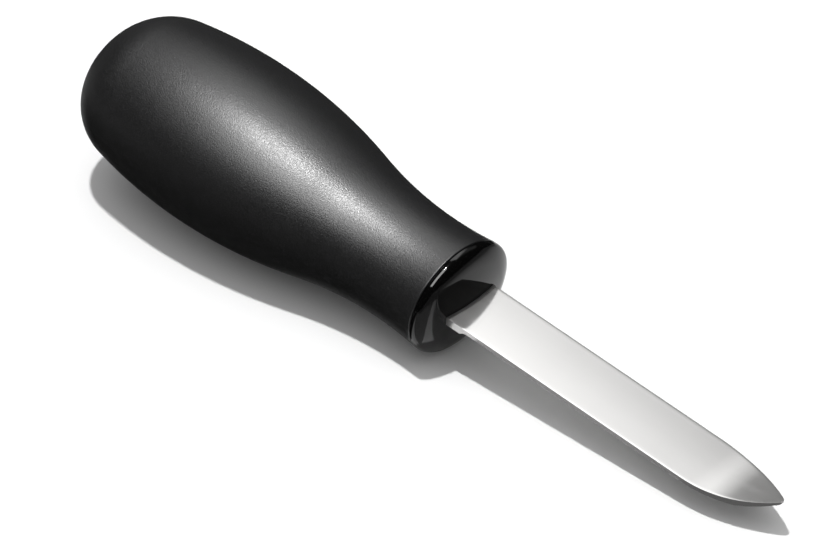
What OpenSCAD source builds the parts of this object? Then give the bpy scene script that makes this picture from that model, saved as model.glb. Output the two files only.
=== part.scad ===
// Oyster knife: a short stiff blade with an upturned point in a pear-shaped oval handle.
// Lengths are measured along the knife from the front edge of the soft grip.
// The blade points along +X, its flat lies across Y, and the knife lies on z = 0.

/* [Handle] */
// Length of the soft grip, from its front edge to the butt
grip_len = 92.2; // [80:0.2:110]
// Width of the handle at its fattest place
bulb_w = 38.5; // [34:0.5:44]
// Height of the handle at its fattest place
bulb_h = 33.9; // [30:0.1:40]
// Distance of the fattest place behind the grip's front edge
bulb_x = 59.6; // [54:0.2:64]
// Width of the handle at the neck
neck_w = 25.4; // [22:0.2:29]
// Distance of the neck behind the grip's front edge
neck_x = 10; // [7:0.5:14]
// Radius of the long arc along the bulb
bulb_arc = 110; // [95:1:125]
// Radius of the shoulder between the bulb and the butt
butt_corner = 14; // [11:0.5:16]
// Radius of the butt's end
butt_dome = 40; // [32:1:55]

/* [Soft grip] */
// Thickness of the soft layer over the core
grip_wall = 2.6; // [2:0.1:3.2]
// Depth of the rings that key the soft layer to the core
key_depth = 1; // [0.5:0.1:1.5]
// Length of each keying ring
key_len = 3; // [2:0.5:5]
// Distance of the front keying ring behind the grip's front edge
key_front_x = 18; // [14:1:22]
// Distance of the rear keying ring behind the grip's front edge
key_rear_x = 70; // [66:1:74]

/* [Nose collar] */
// Length of the collar's head at its middle
collar_len = 4.2; // [3.8:0.1:5]
// Radius of the rounded lip
lip_r = 1.4; // [1:0.1:1.8]
// Radius of the curve that falls from the front to the lip
fall_r = 9.5; // [8:0.5:11]
// Radius of the slightly domed middle of the front
front_dome = 44; // [40:1:60]
// Distance from the axis at which that middle ends
front_reach = 9.4; // [8.6:0.1:9.8]
// Length of the fine groove between the soft grip and the collar
seam_len = 0.3; // [0.1:0.05:0.6]
// Depth of that groove
seam_depth = 0.4; // [0.1:0.05:0.8]
// Width of the plug behind the collar's head
plug_w = 17.6; // [16.8:0.2:19]
// Length of the plug behind the collar's head
plug_len = 6; // [4:0.5:7]

/* [Blade] */
// Width of the blade
blade_w = 13.5; // [11:0.5:14]
// Thickness of the steel
blade_t = 1.8; // [1.4:0.1:2.2]
// Distance of the point ahead of the grip's front edge
blade_tip_x = 82.4; // [65:0.2:100]
// Length of the pointed end
point_len = 20; // [16:0.5:26]
// Radius of the point itself
point_r = 1; // [0.5:0.1:2]
// Length of the upturned end
bend_len = 17.4; // [12:0.2:22]
// How far the point is turned up
bend_rise = 2.9; // [1.5:0.1:4.5]
// Thickness left at the blade's edges
edge_t = 1; // [0.6:0.05:1.2]
// Thickness left at the point
point_t = 0.5; // [0.4:0.05:1]
// Width of the slope ground along each lower edge
grind_w = 4; // [2:0.25:5]
// Length of the blade that is left unground in front of the collar
unground_len = 2.7; // [1:0.1:8]
// Radius at which the grinding runs out
grind_out_r = 2; // [1:0.25:3]
// Depth that polishing takes off each flat of the blade, but not off the tang
polish_t = 0.05; // [0.02:0.01:0.1]
// Length of the unpolished band in front of the collar
raw_len = 0.2; // [0.1:0.1:0.8]

/* [Tang] */
// Length of blade inside the handle before it narrows to the tang
shank_len = 12; // [9:0.5:15]
// Width of the tang
tang_w = 10; // [8:0.5:11]
// Distance of the tang's end behind the grip's front edge
tang_end_x = 62; // [56:1:66]
// Width of the holes through which the core holds the tang
key_hole_d = 4; // [3:0.25:5]
// Distance of the front hole behind the grip's front edge
hole_front_x = 22; // [19:1:28]
// Distance of the rear hole behind the grip's front edge
hole_rear_x = 48; // [40:1:52]

/* [Fits] */
// Gap left all round between pieces that are moulded or pressed together
fit_gap = 0.05; // [0.03:0.01:0.1]

/* [Hidden] */
$fn = 96;
long_arc_fn = 360;
over = 1;

// Where two arcs touch, one runs this far past the other, so that they cross cleanly
lap = 0.005;

// The handle is turned in the round and then flattened by this share
oval = bulb_h / bulb_w;
bulb_r = bulb_w / 2;
neck_r = neck_w / 2;

// Centres of the four arcs that make half the handle's outline, each arc touching the next
drop = bulb_r - neck_r;
run = bulb_x - neck_x;
arcs_sum = (drop * drop + run * run - lap * lap) / (2 * (drop - lap));
neck_arc = arcs_sum - bulb_arc;
bulb_c = [-bulb_x, bulb_r - bulb_arc];
neck_c = [-neck_x, neck_r + neck_arc];
dome_c = [butt_dome - grip_len, 0];

// The shoulder's circle touches the bulb's and the butt's circles from inside
function meet(a, ra, b, rb) =
    let (d = norm(b - a), k = (ra * ra - rb * rb + d * d) / (2 * d), h = sqrt(ra * ra - k * k))
    let (along = (b - a) / d)
    a + k * along + h * [-along[1], along[0]];
function out_to(from, to, r) = from + (to - from) / norm(to - from) * r;
corner_c = meet(bulb_c, bulb_arc - butt_corner + lap, dome_c, butt_dome - butt_corner + lap);

// The collar's head stands as high as the grip's front edge
collar_r = neck_c[1] - sqrt(neck_arc * neck_arc - neck_x * neck_x);
front_c = [collar_len - front_dome, 0];
front_lean = asin(front_reach / front_dome);
fall_c = front_c + (front_dome - fall_r + lap) * [cos(front_lean), sin(front_lean)];
lip_y = collar_r - lip_r;
lip_c = [fall_c[0] + sqrt(pow(fall_r - lip_r + lap, 2) - pow(lip_y - fall_c[1], 2)), lip_y];
lip_end = out_to(fall_c, lip_c, fall_r);

// The blade's upturned end is bent about an axis above it
bend_x = blade_tip_x - bend_len;
bend_axis_z = (bend_len * bend_len + bend_rise * bend_rise) / (2 * bend_rise) + blade_t / 2;
taper_rise = bend_rise + blade_t - point_t;
taper_r = (bend_len * bend_len + taper_rise * taper_rise) / (2 * taper_rise);
bend_angle = asin((bend_len + over) / (bend_axis_z - blade_t / 2));
edge_z = blade_t / 2 - edge_t;
ground_x = collar_len + unground_len;

// The tang and the band at the blade's root keep the full thickness of the steel
tang_t = blade_t + 2 * polish_t;
root_x = collar_len + raw_len;

// Each side of the point is an arc that starts along the blade's side and touches the point's circle
side_reach = blade_w / 2 + lap;
point_reach = point_r - lap;
point_arc = (pow(point_len - point_r, 2) + pow(side_reach, 2) - pow(point_reach, 2))
    / (2 * (side_reach - point_reach));
point_x = blade_tip_x - point_len;
point_join = (point_len - point_r) * point_arc / (point_arc - point_reach);

// The knife rests on its bulb and its collar, so one line touches both circles from below
rest_span = lip_c - bulb_c;
rest_normal = atan2(rest_span[1], rest_span[0]) + acos((bulb_arc - lip_r) / norm(rest_span));
rest_reach = cos(rest_normal) * bulb_c[0] + sin(rest_normal) * bulb_c[1] + bulb_arc;
rest_tilt = atan(oval * cos(rest_normal) / sin(rest_normal));
rest_height = oval * rest_reach / sin(rest_normal) * cos(rest_tilt);

// Ends of the tilted knife, which put the origin under its middle
butt_reach = -dome_c[0] * cos(rest_tilt)
    + butt_dome * norm([cos(rest_tilt), oval * sin(rest_tilt)]);
tip_reach = blade_tip_x * cos(rest_tilt) + (blade_t / 2 + bend_rise) * sin(rest_tilt);
middle_x = (tip_reach - butt_reach) / 2;

// Turns a piece drawn along the X axis into the pose in which the knife lies
module lying() {
    translate([-middle_x, 0, rest_height]) rotate([0, rest_tilt, 0]) children();
}

// Turns half an outline, drawn above the X axis, round that axis and flattens it to the oval.
// It is turned by quarters, whose seams fall on the oval's widest and highest lines.
module oval_body() {
    scale([1, 1, oval]) rotate([0, 90, 0])
        for (quarter = [0:3])
            rotate(90 * quarter) rotate_extrude(angle = 90) rotate(90) mirror([0, 1]) children();
}

// The part of a circle that lies over the axis between two places and below a height
module arc_part(c, r, x0, x1, top) {
    intersection() {
        translate(c) circle(r = r, $fn = long_arc_fn);
        translate([x0, 0]) square([x1 - x0, top]);
    }
}

// Half the handle's outline, drawn in from the surface by an inset. Each arc's part ends
// inside the next one: the butt's dome, the shoulder, the bulb and the hollow of the neck.
module handle_half(inset) {
    dome_end = out_to(dome_c, corner_c, butt_dome - inset);
    corner_end = out_to(bulb_c, corner_c, bulb_arc - inset);
    bulb_end = out_to(bulb_c, neck_c, bulb_arc - inset);
    behind = -grip_len - over;
    top = bulb_r + over;
    arc_part(dome_c, butt_dome - inset, behind, corner_c[0], dome_end[1]);
    arc_part(corner_c, butt_corner - inset, behind, corner_c[0] + butt_corner, top);
    arc_part(bulb_c, bulb_arc - inset, corner_end[0], bulb_end[0] + over, top);
    difference() {
        translate([bulb_end[0], 0]) square([-bulb_end[0], bulb_r]);
        translate(neck_c) circle(r = neck_arc + inset, $fn = long_arc_fn);
    }
}

// Half the core's outline with its two keying grooves, grown all round by a gap
module core_half(gap) {
    difference() {
        handle_half(grip_wall - gap);
        for (x = [key_front_x, key_rear_x])
            difference() {
                translate([gap - x - key_len / 2, 0]) square([key_len - 2 * gap, bulb_r]);
                handle_half(grip_wall + key_depth - gap);
            }
    }
}

// The ground cross-section before its flat is cut: flat on top, a low V below
module blade_section() {
    keel_z = edge_z - blade_w / 2 * (blade_t - edge_t) / grind_w;
    polygon([
        [-blade_w / 2, blade_t / 2],
        [blade_w / 2, blade_t / 2],
        [blade_w / 2, edge_z],
        [0, keel_z],
        [-blade_w / 2, edge_z]
    ]);
}

// What the wheel takes off below both edges of the straight part, with a rounded start
module grind_cut() {
    cut_len = bend_x - ground_x + over;
    cut_w = blade_w + 2 * over;
    intersection() {
        translate([ground_x, 0, 0]) rotate([90, 0, 90]) linear_extrude(cut_len)
            difference() {
                translate([-cut_w / 2, edge_z - grind_w]) square([cut_w, grind_w]);
                blade_section();
            }
        translate([ground_x, cut_w / 2, edge_z]) rotate([90, 0, 0]) linear_extrude(cut_w) {
            translate([grind_out_r, lap - grind_out_r]) circle(r = grind_out_r);
            translate([grind_out_r, -grind_w]) square([cut_len, grind_w + over]);
            translate([lap, -grind_w - grind_out_r]) square([cut_len, grind_w]);
        }
    }
}

// The tang's plan up to its front end: a strip with a round end and a wide shank,
// grown all round by a gap
module tang_plan(gap, front_x) {
    end_r = tang_w / 2 + gap;
    shank_x = -shank_len - gap;
    translate([tang_w / 2 - tang_end_x, 0]) circle(r = end_r);
    translate([tang_w / 2 - tang_end_x, -end_r]) square([tang_end_x - tang_w / 2, 2 * end_r]);
    translate([shank_x, -blade_w / 2 - gap]) square([front_x - shank_x, blade_w + 2 * gap]);
}

// The blade's plan: straight sides and two arcs that meet in a small round point
module blade_plan() {
    translate([-over, -blade_w / 2]) square([point_x + over, blade_w]);
    intersection_for (side = [-1, 1])
        intersection() {
            translate([point_x, side * (point_arc - side_reach)])
                circle(r = point_arc, $fn = long_arc_fn);
            translate([point_x, -blade_w / 2]) square([point_join, blade_w]);
        }
    translate([blade_tip_x - point_r, 0]) circle(r = point_r);
}

// The steel bar before its plan is cut: straight and ground below, then bent and thinned
module blade_bar() {
    difference() {
        translate([-over, -blade_w / 2, -blade_t / 2]) cube([bend_x + over, blade_w, blade_t]);
        grind_cut();
    }
    intersection() {
        translate([bend_x, 0, bend_axis_z]) rotate([90, 90, 0])
            rotate_extrude(angle = bend_angle, $fn = long_arc_fn)
            translate([bend_axis_z, 0]) rotate(90) blade_section();
        translate([bend_x, blade_w, taper_r - lap - blade_t / 2]) rotate([90, 0, 0])
            cylinder(h = 2 * blade_w, r = taper_r, $fn = long_arc_fn);
        translate([bend_x - over, -blade_w, -blade_t / 2])
            cube([bend_len + 3 * over, 2 * blade_w, bend_axis_z]);
    }
}

// The hole or the pin at each place where the core holds the tang
module key_posts(r, h) {
    for (x = [hole_front_x, hole_rear_x])
        translate([-x, 0, -h / 2]) cylinder(h = h, r = r);
}

// The room that the blade and its tang need inside the handle
module blade_pocket() {
    pocket_t = tang_t + 2 * fit_gap;
    translate([0, 0, -pocket_t / 2]) linear_extrude(pocket_t) tang_plan(fit_gap, over);
}

module blade() {
    color([0.8, 0.81, 0.82]) lying() {
        intersection() {
            blade_bar();
            translate([0, 0, -blade_t]) linear_extrude(bend_axis_z) blade_plan();
        }
        difference() {
            translate([0, 0, -tang_t / 2]) linear_extrude(tang_t) tang_plan(0, root_x);
            key_posts(key_hole_d / 2, 2 * tang_t);
        }
    }
}

// Half the collar's outline: a plug, a fine groove, and a head whose slightly domed front
// falls away in a tighter curve to a round lip
module collar_half() {
    translate([-plug_len, 0]) square([plug_len + over, plug_w / 2]);
    difference() {
        union() {
            square([max(lip_c[0], seam_len), collar_r - lap]);
            arc_part(lip_c, lip_r, 0, collar_len, collar_r + over);
            arc_part(fall_c, fall_r, 0, collar_len + over, lip_end[1]);
            arc_part(front_c, front_dome, 0, collar_len + over, front_reach);
        }
        translate([-over, collar_r - seam_depth]) square([seam_len + over, seam_depth + over]);
    }
}

module nose_collar() {
    slot_w = blade_w + 2 * fit_gap;
    slot_t = tang_t + 2 * fit_gap;
    color([0.03, 0.03, 0.03]) lying()
        difference() {
            oval_body() collar_half();
            translate([-plug_len - over, -slot_w / 2, -slot_t / 2])
                cube([plug_len + collar_len + 2 * over, slot_w, slot_t]);
        }
}

module handle_core() {
    color([0.2, 0.2, 0.21]) lying() {
        difference() {
            oval_body() difference() {
                core_half(0);
                translate([-plug_len - fit_gap, 0])
                    square([plug_len + fit_gap + over, plug_w / 2 + fit_gap]);
            }
            blade_pocket();
        }
        key_posts(key_hole_d / 2 - fit_gap, tang_t + 2 * over);
    }
}

module soft_grip() {
    color([0.09, 0.09, 0.09]) lying()
        oval_body() difference() {
            handle_half(0);
            core_half(fit_gap);
        }
}

blade();
nose_collar();
handle_core();
soft_grip();
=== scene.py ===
# %% [markdown]
# # An oyster knife, dressed for the camera
# The knife is one short bar of steel in a fat oval handle. The steel runs on inside the
# handle as a tang, a hard core is moulded round it, and a soft black skin covers the core.
# A glossy collar closes the front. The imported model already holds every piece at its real
# size, so this lesson loads it as a frame and gives each piece its finished surface.

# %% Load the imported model
from math import acos, asin, atan2, cos, hypot, pi, radians, sin, sqrt, tau

import bmesh
import bpy
from mathutils import Matrix, Vector


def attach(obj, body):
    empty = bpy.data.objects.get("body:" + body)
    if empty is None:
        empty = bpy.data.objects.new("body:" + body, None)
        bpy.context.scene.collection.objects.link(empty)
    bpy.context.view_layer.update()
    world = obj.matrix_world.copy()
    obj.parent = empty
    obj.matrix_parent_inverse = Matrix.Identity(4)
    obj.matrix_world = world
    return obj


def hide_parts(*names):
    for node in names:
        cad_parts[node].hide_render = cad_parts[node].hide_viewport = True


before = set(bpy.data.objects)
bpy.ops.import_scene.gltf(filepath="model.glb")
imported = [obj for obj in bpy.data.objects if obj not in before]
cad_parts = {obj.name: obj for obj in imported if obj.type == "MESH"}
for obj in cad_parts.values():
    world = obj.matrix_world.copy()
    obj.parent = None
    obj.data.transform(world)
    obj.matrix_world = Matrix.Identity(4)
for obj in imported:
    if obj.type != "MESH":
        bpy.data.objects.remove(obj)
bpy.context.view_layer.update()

print("pieces in the frame:", sorted(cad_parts))

# %% [markdown]
# ## Where the knife lies
# The knife is drawn along its own axis: u runs towards the point, y across the blade and
# w up from it, in millimetres. On the table it rests on its bulb and on the collar, so the
# point dips by a few degrees. One helper turns a point of the knife into a point of the
# room. Writing every outline in the knife's own axes keeps the numbers simple.

# %% From the knife's axes to the room
MM = 0.001
DIP = radians(5.49412)
REST_HEIGHT = 11.7393
MIDDLE = -4.76685
TINY = 1e-6


def in_room(u, y, w):
    x = u * cos(DIP) + w * sin(DIP) - MIDDLE
    z = w * cos(DIP) - u * sin(DIP) + REST_HEIGHT
    return Vector((x * MM, y * MM, z * MM))


print("front edge of the grip lies at", [round(v, 4) for v in in_room(0, 0, 0)])

# %% [markdown]
# ## The camera
# The photograph was taken with a long lens from above and to the right, so near and far
# ends of the knife differ little in size. A camera is a place, a direction and a lens. Its
# three axes are worked out from two angles, and a matrix sets them together: that leaves
# no doubt about roll, which a tracking constraint would decide by itself.

# %% Set the camera
CAMERA_TURN = radians(41.79)
CAMERA_RISE = radians(39.55)
CAMERA_ROLL = radians(0.436)
CAMERA_DISTANCE = 1.3794
LENS = 310.4
AIM = Vector((0.007354, 0, 0.01147))
SHIFT = (-0.05913, 0.02918)

back = Vector((sin(CAMERA_TURN) * cos(CAMERA_RISE), -cos(CAMERA_TURN) * cos(CAMERA_RISE),
               sin(CAMERA_RISE)))
level = Vector((cos(CAMERA_TURN), sin(CAMERA_TURN), 0))
rising = back.cross(level)
right = level * cos(CAMERA_ROLL) + rising * sin(CAMERA_ROLL)
up = rising * cos(CAMERA_ROLL) - level * sin(CAMERA_ROLL)

camera = bpy.data.objects.new("camera", bpy.data.cameras.new("camera"))
bpy.context.scene.collection.objects.link(camera)
camera.data.lens = LENS
camera.data.sensor_width = 36
camera.data.clip_start, camera.data.clip_end = 0.05, 20
axes = Matrix((right, up, back)).transposed().to_4x4()
camera.matrix_world = Matrix.Translation(AIM + back * CAMERA_DISTANCE) @ axes
camera.data.shift_x, camera.data.shift_y = SHIFT
bpy.context.scene.camera = camera
bpy.context.scene.view_settings.view_transform = "Standard"
print("camera stands at", [round(v, 3) for v in camera.matrix_world.translation])

# %% [markdown]
# ## Materials from nodes
# Every finish below is a Principled shader fed by noise. The few helpers here make the
# nodes that repeat: a noise that can be stretched along the knife, a range of numbers or of
# tints that the noise picks from, and a bump. The noise reads object coordinates, which are
# metres in the room, so a scale of 1000 gives a pattern about a millimetre wide. Nearly all
# of a noise lies between 0.3 and 0.7, so that span is spread over the wanted range.

# %% Helpers for materials
NOISE_SPAN = (0.3, 0.7)


def new_finish(name):
    finish = bpy.data.materials.new(name)
    finish.use_nodes = True
    return finish, finish.node_tree, finish.node_tree.nodes["Principled BSDF"]


def noise(tree, scale, detail, stretch=(1, 1, 1)):
    place = tree.nodes.new("ShaderNodeTexCoord")
    turn = tree.nodes.new("ShaderNodeMapping")
    turn.vector_type = "POINT"
    turn.inputs["Rotation"].default_value = (0, -DIP, 0)
    stretched = tree.nodes.new("ShaderNodeMapping")
    stretched.inputs["Scale"].default_value = stretch
    grain = tree.nodes.new("ShaderNodeTexNoise")
    grain.inputs["Scale"].default_value = scale
    grain.inputs["Detail"].default_value = detail
    tree.links.new(place.outputs["Object"], turn.inputs["Vector"])
    tree.links.new(turn.outputs["Vector"], stretched.inputs["Vector"])
    tree.links.new(stretched.outputs["Vector"], grain.inputs["Vector"])
    return grain.outputs["Fac"]


def scaled(tree, value, ends, levels):
    ranged = tree.nodes.new("ShaderNodeMapRange")
    ranged.inputs["From Min"].default_value, ranged.inputs["From Max"].default_value = ends
    ranged.inputs["To Min"].default_value, ranged.inputs["To Max"].default_value = levels
    tree.links.new(value, ranged.inputs["Value"])
    return ranged.outputs["Result"]


def between(tree, value, low, high):
    return scaled(tree, value, NOISE_SPAN, (low, high))


def tint(tree, value, dark, light):
    mixed = tree.nodes.new("ShaderNodeMix")
    mixed.data_type = "RGBA"
    mixed.inputs["A"].default_value = (*dark, 1)
    mixed.inputs["B"].default_value = (*light, 1)
    tree.links.new(value, mixed.inputs["Factor"])
    return mixed.outputs["Result"]


def add_bump(tree, shader, height, depth, strength=1.0):
    bump = tree.nodes.new("ShaderNodeBump")
    bump.inputs["Distance"].default_value = depth
    bump.inputs["Strength"].default_value = strength
    tree.links.new(height, bump.inputs["Height"])
    tree.links.new(bump.outputs["Normal"], shader.inputs["Normal"])


print("noises are read between", NOISE_SPAN)

# %% [markdown]
# ## Soft black rubber
# The grip is a thermoplastic rubber. It is nearly black, quite rough, and has the very fine
# grain of the mould's sand-blasted wall. Two noises make it: a fine one, a quarter of a
# millimetre wide, for the grain, and a broad one for the faint cloudiness that handling
# leaves. The grain goes into the bump, the colour and the roughness together, because a
# hollow in the grain is both darker and duller, and the cloudiness into the roughness alone.

# %% Make the rubber
CLOUD_SCALE, GRAIN_SCALE = 60, 3600
RUBBER_DARK, RUBBER_LIGHT = (0.003, 0.003, 0.0032), (0.011, 0.011, 0.0116)
GRAIN_DEPTH = 0.00004

rubber, tree, shader = new_finish("soft_rubber")
cloud = noise(tree, CLOUD_SCALE, 3)
grain = noise(tree, GRAIN_SCALE, 3)
tree.links.new(tint(tree, grain, RUBBER_DARK, RUBBER_LIGHT), shader.inputs["Base Color"])
both = tree.nodes.new("ShaderNodeMath")
both.operation = "ADD"
tree.links.new(between(tree, cloud, 0.17, 0.2), both.inputs[0])
tree.links.new(between(tree, grain, 0.13, 0.29), both.inputs[1])
tree.links.new(both.outputs["Value"], shader.inputs["Roughness"])
shader.inputs["IOR"].default_value = 1.5
shader.inputs["Specular IOR Level"].default_value = 1.0
add_bump(tree, shader, grain, GRAIN_DEPTH)
print("rubber nodes:", len(tree.nodes))

# %% [markdown]
# ## Glossy black plastic
# The collar is hard polished plastic. Its colour is close to black, so nearly everything
# that shows on it is a reflection. A faint broad noise in the roughness keeps the
# reflections from looking like glass, and a very shallow wave in the bump bends them a
# little, as moulded plastic does.

# %% Make the glossy plastic
GLOSS_DARK, GLOSS_LIGHT = (0.0012, 0.0012, 0.0012), (0.0025, 0.0025, 0.0025)
WAVE_DEPTH = 0.000004

gloss, tree, shader = new_finish("gloss_collar")
cloud = noise(tree, 250, 3)
tree.links.new(tint(tree, cloud, GLOSS_DARK, GLOSS_LIGHT), shader.inputs["Base Color"])
tree.links.new(between(tree, cloud, 0.05, 0.09), shader.inputs["Roughness"])
shader.inputs["IOR"].default_value = 1.55
add_bump(tree, shader, noise(tree, 300, 1), WAVE_DEPTH, 0.5)
print("gloss nodes:", len(tree.nodes))

# %% [markdown]
# ## Polished steel
# The blade is stainless steel, ground and then polished along its length. Metal has no
# colour of its own beyond its tint, so the roughness makes the finish. A polished blade
# still has fine scratches left by the earlier, coarser wheel: most of the light is mirrored
# sharply and the rest is scattered widely. Two shaders mixed in that share show both. The
# lines are a noise squeezed across the knife and drawn out along it.

# %% Make the steel
SCATTERED = 0.3
MIRROR_ROUGHNESS, SATIN_ROUGHNESS = (0.08, 0.12), (0.42, 0.48)
STEEL_DARK, STEEL_LIGHT = (0.72, 0.715, 0.705), (0.76, 0.755, 0.745)
LINE_STRETCH, LINE_DEPTH = (0.02, 1, 1), 0.000002

steel, tree, shader = new_finish("steel")
lines = noise(tree, 900, 3, LINE_STRETCH)
cloud = noise(tree, 90, 3)
metal = tint(tree, cloud, STEEL_DARK, STEEL_LIGHT)
satin = tree.nodes.new("ShaderNodeBsdfPrincipled")
for lobe, (low, high) in ((shader, MIRROR_ROUGHNESS), (satin, SATIN_ROUGHNESS)):
    tree.links.new(metal, lobe.inputs["Base Color"])
    lobe.inputs["Metallic"].default_value = 1
    tree.links.new(between(tree, lines, low, high), lobe.inputs["Roughness"])
    add_bump(tree, lobe, lines, LINE_DEPTH, 0.5)
blend = tree.nodes.new("ShaderNodeMixShader")
blend.inputs["Fac"].default_value = SCATTERED
tree.links.new(shader.outputs["BSDF"], blend.inputs[1])
tree.links.new(satin.outputs["BSDF"], blend.inputs[2])
tree.links.new(blend.outputs["Shader"],
               tree.nodes["Material Output"].inputs["Surface"])
print("steel nodes:", len(tree.nodes))

# %% [markdown]
# ## Plain moulded plastic
# The core is hidden under the rubber. It is as it came from the mould: dull and slightly
# uneven, so that the soft skin grips it.

# %% Make the core's plastic
CORE_DARK, CORE_LIGHT = (0.035, 0.035, 0.037), (0.05, 0.05, 0.052)
CORE_GRAIN_DEPTH = 0.00003

core_plastic, tree, shader = new_finish("core_plastic")
cloud = noise(tree, 200, 4)
tree.links.new(tint(tree, cloud, CORE_DARK, CORE_LIGHT), shader.inputs["Base Color"])
tree.links.new(between(tree, cloud, 0.55, 0.7), shader.inputs["Roughness"])
add_bump(tree, shader, noise(tree, 1800, 2), CORE_GRAIN_DEPTH, 0.5)
print("core nodes:", len(tree.nodes))

# %% [markdown]
# ## Turning an outline
# The handle is an oval body of revolution: half its outline is turned round the axis and
# then flattened. A lathe in code makes one ring of points for each point of the outline
# and joins neighbours with faces. The outline is made of circular arcs that run into each
# other, so the highlights on the rubber stay smooth from the butt to the neck.

# %% Helpers for arcs
BULB_WIDTH, BULB_HEIGHT = 38.5, 33.9
OVAL = BULB_HEIGHT / BULB_WIDTH
CLOSEST = 1e-4


def out_to(start, end, reach):
    ahead = Vector(end) - Vector(start)
    return Vector(start) + ahead.normalized() * reach


def arc(centre, radius, start, end, count):
    a0 = atan2(start[1] - centre[1], start[0] - centre[0])
    a1 = atan2(end[1] - centre[1], end[0] - centre[0])
    if a1 - a0 > pi:
        a1 -= tau
    if a0 - a1 > pi:
        a1 += tau
    steps = [a0 + (a1 - a0) * i / count for i in range(count + 1)]
    return [(centre[0] + radius * cos(a), centre[1] + radius * sin(a)) for a in steps]


def without_repeats(points):
    kept = points[:1]
    for p in points[1:]:
        if hypot(p[0] - kept[-1][0], p[1] - kept[-1][1]) > CLOSEST:
            kept.append(p)
    return kept


print("the handle's section is", round(OVAL, 3), "times as high as it is wide")

# %% Helpers for turned pieces
RING_POINTS = 160
CREASE = 30


def finish_mesh(name, solid, material, crease=CREASE):
    mesh = bpy.data.meshes.new(name)
    bmesh.ops.recalc_face_normals(solid, faces=solid.faces)
    solid.to_mesh(mesh)
    solid.free()
    mesh.materials.append(material)
    for face in mesh.polygons:
        face.use_smooth = True
    mesh.set_sharp_from_angle(angle=radians(crease))
    piece = bpy.data.objects.new(name, mesh)
    bpy.context.scene.collection.objects.link(piece)
    return piece


def turned(name, outline, material):
    solid = bmesh.new()
    rings = []
    for u, r in without_repeats(outline):
        if r < TINY:
            rings.append([solid.verts.new(in_room(u, 0, 0))])
        else:
            turns = [tau * i / RING_POINTS for i in range(RING_POINTS)]
            rings.append([solid.verts.new(in_room(u, r * cos(a), r * OVAL * sin(a)))
                          for a in turns])
    for near, far in zip(rings, rings[1:]):
        for i in range(RING_POINTS):
            j = (i + 1) % RING_POINTS
            if len(near) == 1:
                solid.faces.new((near[0], far[j], far[i]))
            elif len(far) == 1:
                solid.faces.new((near[i], near[j], far[0]))
            else:
                solid.faces.new((near[i], near[j], far[j], far[i]))
    return finish_mesh(name, solid, material)


print("points in each ring:", RING_POINTS)

# %% [markdown]
# ## The soft grip
# Half the grip's outline has four arcs: the butt's flat dome, a round shoulder, the long
# bulb and the hollow of the neck. The skin is a shell, so the outline goes forward along
# the outside, rounds the thin front edge, and comes back along the core. Two rings inside
# sit in the core's grooves and keep the skin from sliding off. The outside is drawn a
# hundredth of a millimetre in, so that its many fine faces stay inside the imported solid.

# %% Outline of the grip
GRIP_LENGTH = 92.2
BULB_ARC, SHOULDER_ARC, BUTT_DOME, NECK_ARC = 110, 14, 40, 81.2194
BULB_CENTRE = (-59.6, -90.75)
NECK_CENTRE = (-10, 93.9194)
DOME_CENTRE = (-52.2, 0)
SHOULDER_CENTRE = (-77.971, 3.4809)
SKIN = 2.55
EDGE_ROUND = 0.25
UNDERSIZE = 0.012
FINE, COARSE = 8, 3


def neck_radius(u, inset):
    return NECK_CENTRE[1] - sqrt((NECK_ARC + inset) ** 2 - (u - NECK_CENTRE[0]) ** 2)


def handle_outline(inset, front_u, fineness):
    dome_end = out_to(DOME_CENTRE, SHOULDER_CENTRE, BUTT_DOME - inset)
    shoulder_end = out_to(BULB_CENTRE, SHOULDER_CENTRE, BULB_ARC - inset)
    bulb_end = out_to(BULB_CENTRE, NECK_CENTRE, BULB_ARC - inset)
    front = (front_u, neck_radius(front_u, inset))
    return (arc(DOME_CENTRE, BUTT_DOME - inset, (inset - GRIP_LENGTH, 0), dome_end, fineness)
            + arc(SHOULDER_CENTRE, SHOULDER_ARC - inset, dome_end, shoulder_end, 4 * fineness)
            + arc(BULB_CENTRE, BULB_ARC - inset, shoulder_end, bulb_end, 6 * fineness)
            + arc(NECK_CENTRE, NECK_ARC + inset, bulb_end, front, 3 * fineness))


outside = handle_outline(UNDERSIZE, -EDGE_ROUND, FINE)
front_r = neck_radius(0, UNDERSIZE)
rounded = arc((-EDGE_ROUND, front_r - EDGE_ROUND), EDGE_ROUND,
              (-EDGE_ROUND, front_r), (0, front_r - EDGE_ROUND), 4)
inside = handle_outline(SKIN, 0, COARSE)[::-1]
print("points outside and inside:", len(outside), len(inside))

# %% Keying rings inside the grip
KEY_DEPTH, KEY_HALF = 1.0, 1.45
KEY_PLACES = (-18, -70)


def with_key(points, middle):
    front, rear = middle + KEY_HALF, middle - KEY_HALF
    ahead = [p for p in points if p[0] > front]
    behind = [p for p in points if p[0] < rear]
    (u0, r0), (u1, r1) = ahead[-1], behind[0]
    at_front, at_rear = [r0 + (r1 - r0) * (u0 - u) / (u0 - u1) for u in (front, rear)]
    ring = [(front, at_front), (front, at_front - KEY_DEPTH),
            (rear, at_rear - KEY_DEPTH), (rear, at_rear)]
    return ahead + ring + behind


for place in KEY_PLACES:
    inside = with_key(inside, place)
grip = turned("soft_grip_skin", outside + rounded + inside, rubber)
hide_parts("soft_grip")
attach(grip, "root")
print("grip faces:", len(grip.data.polygons))

# %% [markdown]
# ## The nose collar
# The collar is one moulding: a plug that sits in the core, a fine groove against the soft
# skin, a rounded lip, and a front that is nearly flat in its middle and falls away in a
# tighter curve to the lip. It is turned like the grip. The slot for the steel is cut
# afterwards with a Boolean modifier, which is the plain way to put a straight slot through
# a curved face.

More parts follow.
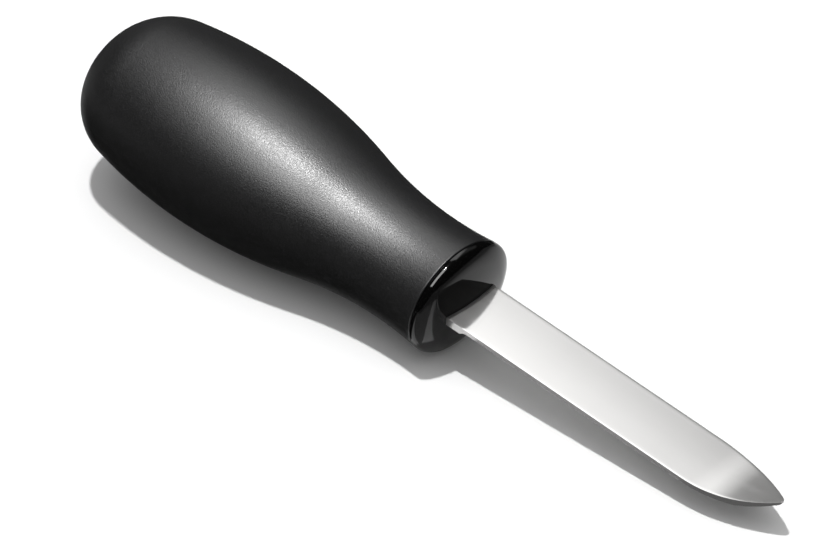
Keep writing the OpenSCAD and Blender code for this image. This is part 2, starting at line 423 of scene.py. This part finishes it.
# %% Outline of the collar
PLUG_LENGTH, PLUG_RADIUS = 6, 8.8
SEAM_LENGTH, SEAM_DEPTH = 0.3, 0.4
COLLAR_LENGTH, COLLAR_RADIUS = 4.2, 13.318
FRONT_DOME, FRONT_REACH = 44, 9.4
FALL, LIP = 9.5, 1.4
FRONT_POINTS = 24
front_lean = asin(FRONT_REACH / FRONT_DOME)
DOME_AXIS = Vector((COLLAR_LENGTH - FRONT_DOME, 0))
FALL_CENTRE = DOME_AXIS + (FRONT_DOME - FALL) * Vector((cos(front_lean), sin(front_lean)))
lip_y = COLLAR_RADIUS - LIP
LIP_CENTRE = (FALL_CENTRE.x + sqrt((FALL - LIP) ** 2 - (lip_y - FALL_CENTRE.y) ** 2), lip_y)
lip_end = out_to(FALL_CENTRE, LIP_CENTRE, FALL)
front_end = out_to(DOME_AXIS, FALL_CENTRE, FRONT_DOME)
groove_r = COLLAR_RADIUS - SEAM_DEPTH

collar_outline = [(-PLUG_LENGTH, 0), (-PLUG_LENGTH, PLUG_RADIUS), (0, PLUG_RADIUS),
                  (0, groove_r), (SEAM_LENGTH, groove_r), (SEAM_LENGTH, COLLAR_RADIUS)]
collar_outline += arc(LIP_CENTRE, LIP, (LIP_CENTRE[0], COLLAR_RADIUS), lip_end, FRONT_POINTS)
collar_outline += arc(FALL_CENTRE, FALL, lip_end, front_end, FRONT_POINTS)
collar_outline += arc(DOME_AXIS, FRONT_DOME, front_end, (COLLAR_LENGTH, 0), FRONT_POINTS)
collar = turned("nose_collar_moulding", collar_outline, gloss)
print("lip is centred at", [round(v, 3) for v in LIP_CENTRE])

# %% Cut the slot for the steel
BLADE_WIDTH, BLADE_THICK, POLISH, FIT_GAP = 13.5, 1.8, 0.05, 0.05
TANG_THICK = BLADE_THICK + 2 * POLISH


def block(name, u0, u1, half_y, half_w):
    solid = bmesh.new()
    for u in (u0, u1):
        for y in (-half_y, half_y):
            for w in (-half_w, half_w):
                solid.verts.new(in_room(u, y, w))
    bmesh.ops.convex_hull(solid, input=solid.verts)
    bmesh.ops.dissolve_limit(solid, angle_limit=0.01, verts=solid.verts, edges=solid.edges)
    return finish_mesh(name, solid, gloss)


def cut(piece, cutter):
    modifier = piece.modifiers.new("cut", "BOOLEAN")
    modifier.operation = "DIFFERENCE"
    modifier.solver = "EXACT"
    modifier.object = cutter
    seen = piece.evaluated_get(bpy.context.evaluated_depsgraph_get())
    cut_mesh = bpy.data.meshes.new_from_object(seen)
    piece.modifiers.clear()
    piece.data = cut_mesh
    bpy.data.objects.remove(cutter)
    piece.data.set_sharp_from_angle(angle=radians(CREASE))


CUT_BEYOND = 1
slot_cutter = block("slot_cutter", -PLUG_LENGTH - CUT_BEYOND, COLLAR_LENGTH + CUT_BEYOND,
                    BLADE_WIDTH / 2 + FIT_GAP, TANG_THICK / 2 + FIT_GAP)
cut(collar, slot_cutter)
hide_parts("nose_collar")
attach(collar, "root")
print("collar faces:", len(collar.data.polygons))

# %% [markdown]
# ## The blade's shape
# The blade is a flat bar. Seen from above its sides run straight and then curve in to a
# small round point. Seen from the side its end turns up along a circle and thins. Below,
# both edges are ground at a low angle, but not next to the collar, where the bar keeps its
# full thickness. Each of these is a short function of u, the place along the knife, and
# the mesh is built from slices, one for each place.

# %% Plan and side view of the blade
TIP_U, POINT_LENGTH, POINT_ROUND = 82.4, 20, 1.0
BEND_LENGTH, BEND_RISE, POINT_THICK = 17.4, 2.9, 0.5
EDGE_THICK, GRIND_WIDTH, UNGROUND, GRIND_ROUND = 1.0, 4.0, 2.7, 2.0
HALF_WIDTH, HALF_THICK = BLADE_WIDTH / 2, BLADE_THICK / 2
BEND_U = TIP_U - BEND_LENGTH
POINT_U = TIP_U - POINT_LENGTH
GROUND_U = COLLAR_LENGTH + UNGROUND
ROOT_U = COLLAR_LENGTH + 0.2
EDGE_W = HALF_THICK - EDGE_THICK
SLOPE = (BLADE_THICK - EDGE_THICK) / GRIND_WIDTH

bend_axis = (BEND_LENGTH ** 2 + BEND_RISE ** 2) / (2 * BEND_RISE) + HALF_THICK
taper_rise = BEND_RISE + BLADE_THICK - POINT_THICK
taper_radius = (BEND_LENGTH ** 2 + taper_rise ** 2) / (2 * taper_rise)
run = POINT_LENGTH - POINT_ROUND
side_arc = (run ** 2 + HALF_WIDTH ** 2 - POINT_ROUND ** 2) / (2 * (HALF_WIDTH - POINT_ROUND))
meet_u = POINT_U + run * side_arc / (side_arc - POINT_ROUND)


def half_width(u):
    if u <= POINT_U:
        return HALF_WIDTH
    if u <= meet_u:
        return sqrt(side_arc ** 2 - (u - POINT_U) ** 2) - (side_arc - HALF_WIDTH)
    return sqrt(max(POINT_ROUND ** 2 - (u - TIP_U + POINT_ROUND) ** 2, 0))


def bent(w, u):
    if u <= BEND_U:
        return w
    return bend_axis - sqrt((bend_axis - w) ** 2 - (u - BEND_U) ** 2)


def flat_below(u):
    if u <= BEND_U:
        return -HALF_THICK
    return taper_radius - HALF_THICK - sqrt(taper_radius ** 2 - (u - BEND_U) ** 2)


print("bend radius:", round(bend_axis - HALF_THICK, 2), "side arc:", round(side_arc, 2))

# %% The ground slopes
RUN_OUT_U = GROUND_U + GRIND_ROUND
HALVINGS = 40


def underside(u, y):
    flat = flat_below(u)
    if u <= GROUND_U:
        return flat
    slope = bent(EDGE_W - (HALF_WIDTH - abs(y)) * SLOPE, u)
    if u < RUN_OUT_U:
        wheel = EDGE_W - GRIND_ROUND + sqrt(GRIND_ROUND ** 2 - (RUN_OUT_U - u) ** 2)
        slope = min(slope, wheel)
    return max(flat, slope)


def slope_start(u):
    low, high = 0.0, half_width(u)
    if underside(u, high) <= flat_below(u) + TINY:
        return high
    for _ in range(HALVINGS):
        middle = (low + high) / 2
        if underside(u, middle) > flat_below(u) + TINY:
            high = middle
        else:
            low = middle
    return low


MIDWAY_U = 35
print("width of the ground slope half way:", round(HALF_WIDTH - slope_start(MIDWAY_U), 3))

# %% [markdown]
# ## The blade's mesh
# Each slice has its top, its thin side, and the underside with a crease where the ground
# slope meets the flat. Slices lie close together where the outline curves and far apart
# where it is straight. A polishing wheel never leaves a flat quite flat: the top is crowned
# by a few hundredths of a millimetre and rolls over near its edges. Nobody sees the height,
# but a mirror shows the slope, so the steel's slow change of tone across the blade comes
# from it. The long edges then get a very small bevel, which draws the fine lines along them.

# %% Places of the slices
TANG_CLEARANCE = 0.001


def spread(start, end, count):
    return [start + (end - start) * i / count for i in range(1, count + 1)]


start_turn = acos((meet_u - TIP_U + POINT_ROUND) / POINT_ROUND)
blade_places = [ROOT_U + TANG_CLEARANCE, GROUND_U]
blade_places += [GROUND_U + GRIND_ROUND * (1 - cos(turn)) for turn in spread(0, pi / 2, 8)]
blade_places += spread(RUN_OUT_U, POINT_U, 10)
blade_places += spread(POINT_U, BEND_U, 4)
blade_places += spread(BEND_U, meet_u, 48)
blade_places += [TIP_U - POINT_ROUND + POINT_ROUND * cos(turn)
                 for turn in spread(start_turn, 0, 12)]
blade_places = sorted(set(round(u, 6) for u in blade_places))
print("slices:", len(blade_places))

# %% Build the blade from slices
BEVEL = 0.1
CROWN = 0.05
ROLL_WIDTH, ROLL_DROP = 0.5, 0.025
TOP_STEPS = [-1, -0.975, -0.95, -0.92, -0.88, -0.75, -0.5, -0.25, 0,
             0.25, 0.5, 0.75, 0.88, 0.92, 0.95, 0.975, 1]
NEAR_EDGE = 0.999


def polished(u, y):
    from_edge = half_width(u) - abs(y)
    roll = ROLL_DROP * max(0, 1 - from_edge / ROLL_WIDTH) ** 2
    return bent(HALF_THICK - CROWN * (y / HALF_WIDTH) ** 2 - roll, u)


def slice_points(u):
    wide, ground = half_width(u), slope_start(u)
    low = flat_below(u)
    if wide < TINY:
        top = polished(u, 0)
        return [(0, top)] * len(TOP_STEPS) + [(0, max(low, underside(u, 0)))] * 4
    top_row = [(wide * step, polished(u, wide * step)) for step in TOP_STEPS]
    side_w = underside(u, wide)
    crease = min(ground, wide * NEAR_EDGE)
    crease_w = low if ground < wide * NEAR_EDGE else side_w
    return top_row + [(wide, side_w), (crease, crease_w), (-crease, crease_w), (-wide, side_w)]


def skinned(solid, slices):
    rings = []
    for u, points in slices:
        ring, made = [], {}
        for y, w in points:
            key = (round(y, 6), round(w, 6))
            if key not in made:
                made[key] = solid.verts.new(in_room(u, y, w))
            ring.append(made[key])
        rings.append(ring)
    for near, far in zip(rings, rings[1:]):
        for i in range(len(near)):
            j = (i + 1) % len(near)
            corners = []
            for v in (near[i], near[j], far[j], far[i]):
                if v not in corners:
                    corners.append(v)
            if len(corners) > 2:
                solid.faces.new(corners)
    for ring in (rings[0], rings[-1]):
        corners = list(dict.fromkeys(ring))
        if len(corners) > 2:
            solid.faces.new(corners)
    return rings


solid = bmesh.new()
rings = skinned(solid, [(u, slice_points(u)) for u in blade_places])
print("blade corners before the bevel:", len(solid.verts))

# %% Bevel the long edges
BLADE_CREASE = 9
BEVEL_STEPS = 3
LAST_TOP = len(TOP_STEPS) - 1

long_edges = []
for near, far in zip(rings, rings[1:]):
    for i in (0, LAST_TOP, LAST_TOP + 1, LAST_TOP + 4):
        edge = solid.edges.get((near[i], far[i]))
        if edge and edge not in long_edges:
            long_edges.append(edge)
bmesh.ops.bevel(solid, geom=long_edges, offset=BEVEL * MM, offset_type="OFFSET",
                segments=BEVEL_STEPS, profile=0.5, affect="EDGES", clamp_overlap=True)
blade = finish_mesh("blade_steel", solid, steel, BLADE_CREASE)
weights = blade.modifiers.new("even_faces", "WEIGHTED_NORMAL")
weights.keep_sharp = True
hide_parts("blade")
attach(blade, "root")
print("blade faces:", len(blade.data.polygons))

# %% [markdown]
# ## The tang
# Behind the collar the same steel goes on at its full rolled thickness, first as wide as
# the blade and then narrower, with a round end and two holes that the core fills. It is
# hidden, but a part that is taken apart or cut open should have it. It is drawn as a flat
# outline with its two holes, filled and thickened.

# %% Build the tang
SHANK_LENGTH, TANG_WIDTH, TANG_END = 12, 10, 62
HOLE_RADIUS = 2.0
HOLE_PLACES = (-22, -48)
END_POINTS, HOLE_POINTS = 32, 48


def tang_outline():
    half = TANG_WIDTH / 2
    end_u = half - TANG_END
    points = [(ROOT_U, -HALF_WIDTH), (ROOT_U, HALF_WIDTH), (-SHANK_LENGTH, HALF_WIDTH),
              (-SHANK_LENGTH, half)]
    turns = [pi / 2 + pi * i / END_POINTS for i in range(END_POINTS + 1)]
    points += [(end_u + half * cos(a), half * sin(a)) for a in turns]
    return points + [(-SHANK_LENGTH, -half), (-SHANK_LENGTH, -HALF_WIDTH)]


def loop_edges(solid, points, w):
    corners = [solid.verts.new(in_room(u, y, w)) for u, y in points]
    return [solid.edges.new((a, b)) for a, b in zip(corners, corners[1:] + corners[:1])]


solid = bmesh.new()
edges = loop_edges(solid, tang_outline(), -TANG_THICK / 2)
for place in HOLE_PLACES:
    turns = [tau * i / HOLE_POINTS for i in range(HOLE_POINTS)]
    hole = [(place + HOLE_RADIUS * cos(a), HOLE_RADIUS * sin(a)) for a in turns]
    edges += loop_edges(solid, hole, -TANG_THICK / 2)
bmesh.ops.triangle_fill(solid, use_beauty=True, use_dissolve=False, edges=edges)
raised = bmesh.ops.extrude_face_region(solid, geom=list(solid.faces))
lift = in_room(0, 0, TANG_THICK) - in_room(0, 0, 0)
bmesh.ops.translate(solid, vec=lift,
                    verts=[v for v in raised["geom"] if isinstance(v, bmesh.types.BMVert)])
tang = finish_mesh("tang_steel", solid, steel)
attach(tang, "root")
print("tang faces:", len(tang.data.polygons))

# %% [markdown]
# ## The core
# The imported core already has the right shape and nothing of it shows, so it stays as it
# is and only gets its material.

# %% Dress the core
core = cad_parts["handle_core"]
core.data.materials.clear()
core.data.materials.append(core_plastic)
print("core faces:", len(core.data.polygons))

# %% [markdown]
# ## Floor and surroundings
# The knife lies on a white table. The floor is a pale matt sheet that takes the shadow. It
# has a very little light of its own near the knife, and more far away where the lamp's
# light thins out, but only for the camera, so that the table reads as white to its end. In
# reflections only, the paper's colour is darker, and it darkens further within a hand's
# breadth of the knife. This is a painted shade that stands in for a small sheet in a dim
# room. It is made one-sided, so that the knife can also be looked at from below. The world
# is white for the camera. Its soft light comes mostly from above, as from a studio's
# ceiling, which makes the shadow deepest close under the knife. In reflections it is dark,
# as a studio is, so that the panels set up later draw clear shapes on the gloss.

# %% Lay the floor
REACH = 4

floor_mesh = bpy.data.meshes.new("floor")
floor_mesh.from_pydata([(-REACH, -REACH, 0), (REACH, -REACH, 0), (REACH, REACH, 0),
                        (-REACH, REACH, 0)], [], [(0, 1, 2, 3)])
floor = bpy.data.objects.new("floor", floor_mesh)
bpy.context.scene.collection.objects.link(floor)
print("floor is", floor.dimensions.x, "m wide")

# %% Give the paper its own light
FLOOR_GLOW = 0.015
FAR_GLOW = 0.6
FAR_SPAN = (0.35, 1.5)

paper = bpy.data.materials.new("paper")
paper.use_nodes = True
tree = paper.node_tree
tree.nodes.clear()
path = tree.nodes.new("ShaderNodeLightPath")
place = tree.nodes.new("ShaderNodeNewGeometry")
away = tree.nodes.new("ShaderNodeVectorMath")
away.operation = "LENGTH"
tree.links.new(place.outputs["Position"], away.inputs[0])
far = scaled(tree, away.outputs["Value"], FAR_SPAN, (FLOOR_GLOW, FAR_GLOW))
level = tree.nodes.new("ShaderNodeMix")
level.inputs["A"].default_value = 0
tree.links.new(path.outputs["Is Camera Ray"], level.inputs["Factor"])
tree.links.new(far, level.inputs["B"])
mirrored = tree.nodes.new("ShaderNodeMath")
mirrored.operation = "MULTIPLY_ADD"
mirrored.inputs[1].default_value = FLOOR_GLOW
tree.links.new(path.outputs["Is Glossy Ray"], mirrored.inputs[0])
tree.links.new(level.outputs["Result"], mirrored.inputs[2])
print("paper glows at", FLOOR_GLOW, "near by and", FAR_GLOW, "far away")

# %% Give the paper its surface
PAPER_WHITE = 0.88
# Painted shade: in reflections the paper's colour falls from 0.72 to 0.12 of white over these
# distances from the knife.
PAINTED_SHADE_SPAN, PAINTED_SHADE_LEVELS = (0.02, 0.16), (0.72, 0.12)

matt = tree.nodes.new("ShaderNodeBsdfDiffuse")
# Painted shade on the paper for glossy rays only. Other rays see the plain paper white.
painted_reflection_shade = scaled(tree, away.outputs["Value"], PAINTED_SHADE_SPAN, PAINTED_SHADE_LEVELS)
shade = tree.nodes.new("ShaderNodeMix")
shade.inputs["A"].default_value = PAPER_WHITE
tree.links.new(path.outputs["Is Glossy Ray"], shade.inputs["Factor"])
tree.links.new(painted_reflection_shade, shade.inputs["B"])
tree.links.new(shade.outputs["Result"], matt.inputs["Color"])
glow = tree.nodes.new("ShaderNodeEmission")
both = tree.nodes.new("ShaderNodeAddShader")
clear = tree.nodes.new("ShaderNodeBsdfTransparent")
one_sided = tree.nodes.new("ShaderNodeMixShader")
out = tree.nodes.new("ShaderNodeOutputMaterial")
tree.links.new(mirrored.outputs["Value"], glow.inputs["Strength"])
tree.links.new(matt.outputs["BSDF"], both.inputs[0])
tree.links.new(glow.outputs["Emission"], both.inputs[1])
tree.links.new(place.outputs["Backfacing"], one_sided.inputs["Fac"])
tree.links.new(both.outputs["Shader"], one_sided.inputs[1])
tree.links.new(clear.outputs["BSDF"], one_sided.inputs[2])
tree.links.new(one_sided.outputs["Shader"], out.inputs["Surface"])
floor_mesh.materials.append(paper)
print("paper nodes:", len(tree.nodes))

# %% Make the world
CEILING_SPAN, AMBIENT = (0.3, 1.0), (0.08, 1.2)
MIRRORED = 0.012

world = bpy.data.worlds.new("studio")
bpy.context.scene.world = world
world.use_nodes = True
tree = world.node_tree
tree.nodes.clear()
out = tree.nodes.new("ShaderNodeOutputWorld")
path = tree.nodes.new("ShaderNodeLightPath")
way = tree.nodes.new("ShaderNodeTexCoord")
height = tree.nodes.new("ShaderNodeSeparateXYZ")
tree.links.new(way.outputs["Generated"], height.inputs["Vector"])
ceiling = scaled(tree, height.outputs["Z"], CEILING_SPAN, AMBIENT)
pick_glossy = tree.nodes.new("ShaderNodeMix")
tree.links.new(ceiling, pick_glossy.inputs["A"])
pick_glossy.inputs["B"].default_value = MIRRORED
pick_camera = tree.nodes.new("ShaderNodeMix")
pick_camera.inputs["B"].default_value = 1.0
sky = tree.nodes.new("ShaderNodeBackground")
tree.links.new(path.outputs["Is Glossy Ray"], pick_glossy.inputs["Factor"])
tree.links.new(path.outputs["Is Camera Ray"], pick_camera.inputs["Factor"])
tree.links.new(pick_glossy.outputs["Result"], pick_camera.inputs["A"])
tree.links.new(pick_camera.outputs["Result"], sky.inputs["Strength"])
tree.links.new(sky.outputs["Background"], out.inputs["Surface"])
print("world nodes:", len(tree.nodes))

# %% [markdown]
# ## The lamp
# One small lamp hangs almost straight above and draws the crisp shadow. It is a disk a few
# centimetres wide and far off, so that the shadow's edge is a little soft, as in the
# photograph, and not as hard as a point of light would make it.

# %% Hang the lamp
LAMP_PLACE = Vector((-0.12, -0.04, 1.0)) * 1.5
LAMP_POWER = 16.5
LAMP_SIZE = 0.07

lamp = bpy.data.objects.new("lamp", bpy.data.lights.new("lamp", "AREA"))
bpy.context.scene.collection.objects.link(lamp)
lamp.data.shape = "DISK"
lamp.data.size = LAMP_SIZE
lamp.data.energy = LAMP_POWER
lamp.location = LAMP_PLACE
lamp.rotation_mode = "QUATERNION"
lamp.rotation_quaternion = LAMP_PLACE.to_track_quat("Z", "Y")
lamp.visible_camera = False
print("lamp hangs at", [round(v, 2) for v in LAMP_PLACE])

# %% [markdown]
# ## Panels and cards
# Shiny things show what stands round them. A broad panel stands behind the knife to the
# left: the blade is a mirror, and this is what it shows. The panel is brighter towards the
# viewer's side and dims towards the left, which gives the steel its slow change of tone. A
# big panel overhead draws the highlight on the rubber and the streak on the collar's lip.
# Two dark cards lie beside the handle, as a photographer lays them to keep the white table
# out of a black thing's reflections, and grey ones beside the blade tone down its thin side.
# Panels and cards show in reflections only and give no light to the table.

# %% A stand for panels and cards


def stand(name, aim, distance, size, long_way, finish):
    aim = Vector(aim).normalized()
    along = Vector(long_way)
    along = (along - aim * along.dot(aim)).normalized() * size[0] / 2
    across = aim.cross(along).normalized() * size[1] / 2
    middle = aim * distance
    corners = [middle + i * along + j * across for i, j in ((-1, -1), (1, -1), (1, 1), (-1, 1))]
    mesh = bpy.data.meshes.new(name)
    mesh.from_pydata([tuple(c) for c in corners], [], [(0, 1, 2, 3)])
    mesh.materials.append(finish)
    panel = bpy.data.objects.new(name, mesh)
    bpy.context.scene.collection.objects.link(panel)
    panel.visible_camera = False
    panel.visible_diffuse = False
    panel.visible_shadow = False
    return panel


def glow_finish(name):
    finish = bpy.data.materials.new(name)
    finish.use_nodes = True
    tree = finish.node_tree
    tree.nodes.clear()
    out = tree.nodes.new("ShaderNodeOutputMaterial")
    glow = tree.nodes.new("ShaderNodeEmission")
    tree.links.new(glow.outputs["Emission"], out.inputs["Surface"])
    return finish, tree, glow.inputs["Strength"]


def ramp(tree, way, ends, levels):
    place = tree.nodes.new("ShaderNodeNewGeometry")
    along = tree.nodes.new("ShaderNodeVectorMath")
    along.operation = "DOT_PRODUCT"
    along.inputs[1].default_value = way
    tree.links.new(place.outputs["Position"], along.inputs[0])
    return scaled(tree, along.outputs["Value"], ends, levels)


CARD_HEIGHT = 0.0008


def lay_cards(spans, finish):
    for name, (x0, x1, y0, y1) in spans.items():
        card = stand(name, (0, 0, 1), CARD_HEIGHT, (x1 - x0, y1 - y0), (1, 0, 0), finish)
        card.location = ((x0 + x1) / 2, (y0 + y1) / 2, 0)
    print("cards:", sorted(spans))


print("cards lie", CARD_HEIGHT, "m above the floor")

# %% The panel that the blade mirrors
TO_VIEWER, TO_LEFT = (-0.558, -0.771, 0.307), (-0.835, 0.133, -0.535)
MAIN_AIM, MAIN_DISTANCE, MAIN_SIZE = (-0.376, 0.565, 0.735), 1.0, (1.3, 0.8)

finish, tree, strength = glow_finish("main_panel")
strip = ramp(tree, TO_VIEWER, (-0.145, 0.03), (0.2, 1.58))
fall = ramp(tree, TO_LEFT, (0.02, 0.17), (1.0, 0.12))
product = tree.nodes.new("ShaderNodeMath")
product.operation = "MULTIPLY"
tree.links.new(strip, product.inputs[0])
tree.links.new(fall, product.inputs[1])
tree.links.new(product.outputs["Value"], strength)
stand("main_panel", MAIN_AIM, MAIN_DISTANCE, MAIN_SIZE, (1, 0, 0), finish)
print("main panel is", MAIN_SIZE, "m")

# %% The panel overhead
OVERHEAD_STRENGTH = 6.0
OVERHEAD_AIM, OVERHEAD_DISTANCE, OVERHEAD_SIZE = (0.03, -0.36, 1), 1.4, (0.9, 0.72)

finish, tree, strength = glow_finish("overhead_panel")
strength.default_value = OVERHEAD_STRENGTH
stand("overhead_panel", OVERHEAD_AIM, OVERHEAD_DISTANCE, OVERHEAD_SIZE, (0, 1, 0), finish)
print("overhead panel is", OVERHEAD_SIZE, "m")

# %% Dark cards beside the handle
DARK_CARD = 0.02
DARK_SPANS = {"near_card": (-0.16, 0.0, -0.6, -0.012), "far_card": (-0.3, -0.02, 0.012, 0.6)}

finish, tree, strength = glow_finish("dark_card")
strength.default_value = DARK_CARD
lay_cards(DARK_SPANS, finish)

# %% Grey cards beside the blade, for its thin side
GREY_SPANS = {"side_card": (0.008, 0.25, -0.3, -0.011), "tip_card": (0.064, 0.25, -0.011, 0.002)}
GREY_ENDS, GREY_LEVELS = (0.045, 0.07), (0.28, 0.12)

finish, tree, strength = glow_finish("grey_card")
tree.links.new(ramp(tree, (1, 0, 0), GREY_ENDS, GREY_LEVELS), strength)
lay_cards(GREY_SPANS, finish)
